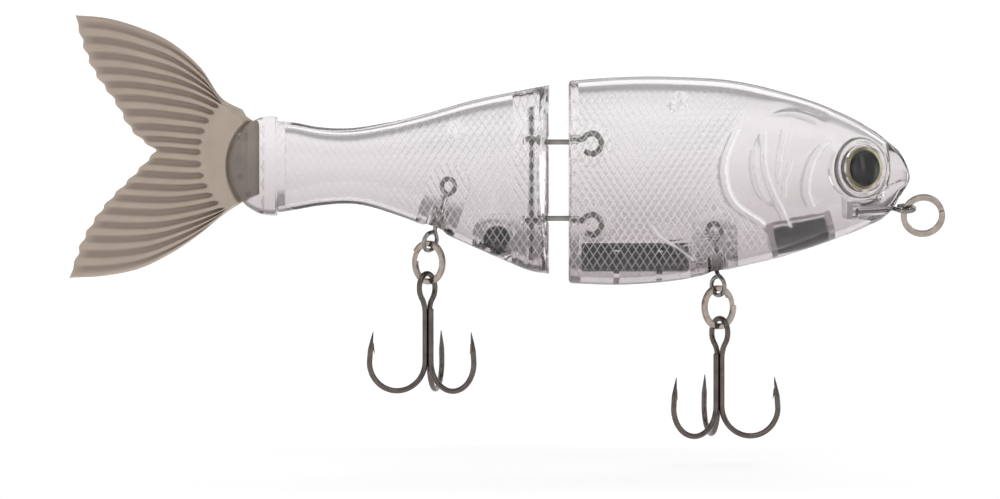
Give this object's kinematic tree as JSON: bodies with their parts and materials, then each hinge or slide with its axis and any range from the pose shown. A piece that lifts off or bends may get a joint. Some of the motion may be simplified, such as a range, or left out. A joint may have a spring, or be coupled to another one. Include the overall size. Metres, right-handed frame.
{
  "type": "jointed swimbait lure",
  "caption": "Clear two-section jointed swimbait with a soft forked tail, stick-on eyes and treble hooks on swivel hangers.",
  "frame": {"origin": "centre of the line-tie eye at the nose", "axes": "+X out of the nose along the body, +Z to the lure's back, +Y to its left side"},
  "size_m": [0.1858, 0.0247, 0.0897],
  "materials": {
    "clear_shell": "clear injection-moulded ABS with embossed scales, lightly hazed",
    "eye_foil": "black printed foil disc with a gold-beige rim",
    "eye_resin": "clear domed resin",
    "steel_wire": "drawn stainless wire",
    "swivel_barrel": "turned stainless barrel",
    "ballast_steel": "dark plain steel",
    "ring_steel": "flattened polished stainless wire",
    "black_nickel": "black nickel plated hook wire",
    "soft_tail": "soft translucent taupe thermoplastic rubber, ribbed"
  },
  "bodies": {
    "front_section": {"front_shell_left": "clear_shell", "front_shell_right": "clear_shell", "eye_disc_left": "eye_foil", "eye_disc_right": "eye_foil", "eye_dome_left": "eye_resin", "eye_dome_right": "eye_resin", "line_tie_eye": "steel_wire", "front_ballast": "ballast_steel", "throat_ballast": "ballast_steel", "upper_joint_link": "steel_wire", "lower_joint_link": "steel_wire", "front_hanger_inner_eye": "steel_wire", "front_hanger_barrel": "swivel_barrel"},
    "rear_section": {"rear_shell_left": "clear_shell", "rear_shell_right": "clear_shell", "hinge_pin": "steel_wire", "rear_hanger_inner_eye": "steel_wire", "rear_hanger_barrel": "swivel_barrel"},
    "rattle": {"rattle_ball": "ballast_steel"},
    "nose_ring": {"nose_ring": "ring_steel"},
    "front_swivel_eye": {"front_hanger_eye": "steel_wire"},
    "front_ring": {"front_ring": "ring_steel"},
    "front_treble": {"front_treble_double": "black_nickel", "front_treble_single": "black_nickel"},
    "rear_swivel_eye": {"rear_hanger_eye": "steel_wire"},
    "rear_ring": {"rear_ring": "ring_steel"},
    "rear_treble": {"rear_treble_double": "black_nickel", "rear_treble_single": "black_nickel"},
    "tail": {"tail_root": "soft_tail"},
    "tail_fin": {"tail_fin": "soft_tail"}
  },
  "joints": [
    {"name": "mid_hinge", "type": "hinge", "parent": "front_section", "child": "rear_section", "pos_m": [-0.0792, 0, 0], "axis": [0, 0, 1], "range_deg": [-35, 35]},
    {"name": "nose_ring_swing", "type": "hinge", "parent": "front_section", "child": "nose_ring", "pos_m": [0.00185, 0, 0], "axis": [0, -0.9397, -0.342], "range_deg": [0, 40]},
    {"name": "front_swivel_turn", "type": "hinge", "parent": "front_section", "child": "front_swivel_eye", "pos_m": [-0.03975, 0, -0.01645], "axis": [-0.0872, 0, 0.9962], "continuous": true},
    {"name": "front_ring_swing", "type": "hinge", "parent": "front_swivel_eye", "child": "front_ring", "pos_m": [-0.03965, 0.00009, -0.01847], "axis": [0.6442, -0.7648, 0], "range_deg": [-40, 40]},
    {"name": "front_treble_swing", "type": "hinge", "parent": "front_ring", "child": "front_treble", "pos_m": [-0.03965, 0.00009, -0.02502], "axis": [0.7648, 0.6442, 0], "range_deg": [-40, 40]},
    {"name": "rear_swivel_turn", "type": "hinge", "parent": "rear_section", "child": "rear_swivel_eye", "pos_m": [-0.1008, 0, -0.007], "axis": [0.3338, 0, 0.9426], "continuous": true},
    {"name": "rear_ring_swing", "type": "hinge", "parent": "rear_swivel_eye", "child": "rear_ring", "pos_m": [-0.10119, 0.00034, -0.00895], "axis": [0.6649, 0.7469, 0], "range_deg": [-40, 40]},
    {"name": "rear_treble_swing", "type": "hinge", "parent": "rear_ring", "child": "rear_treble", "pos_m": [-0.10119, 0.00034, -0.0155], "axis": [0.7469, -0.6649, 0], "range_deg": [-40, 40]},
    {"name": "rattle_slide", "type": "slide", "parent": "rear_section", "child": "rattle", "axis": [1, 0, 0], "range_m": [-0.0008, 0.0008]},
    {"name": "tail_pull", "type": "slide", "parent": "rear_section", "child": "tail", "axis": [-1, 0, 0], "range_m": [0, 0.0138]},
    {"name": "tail_flex", "type": "hinge", "parent": "tail", "child": "tail_fin", "pos_m": [-0.1496, 0, 0.012], "axis": [0, 0, 1], "range_deg": [-20, 20], "stiffness_Nm_per_rad": 0.01}
  ]
}
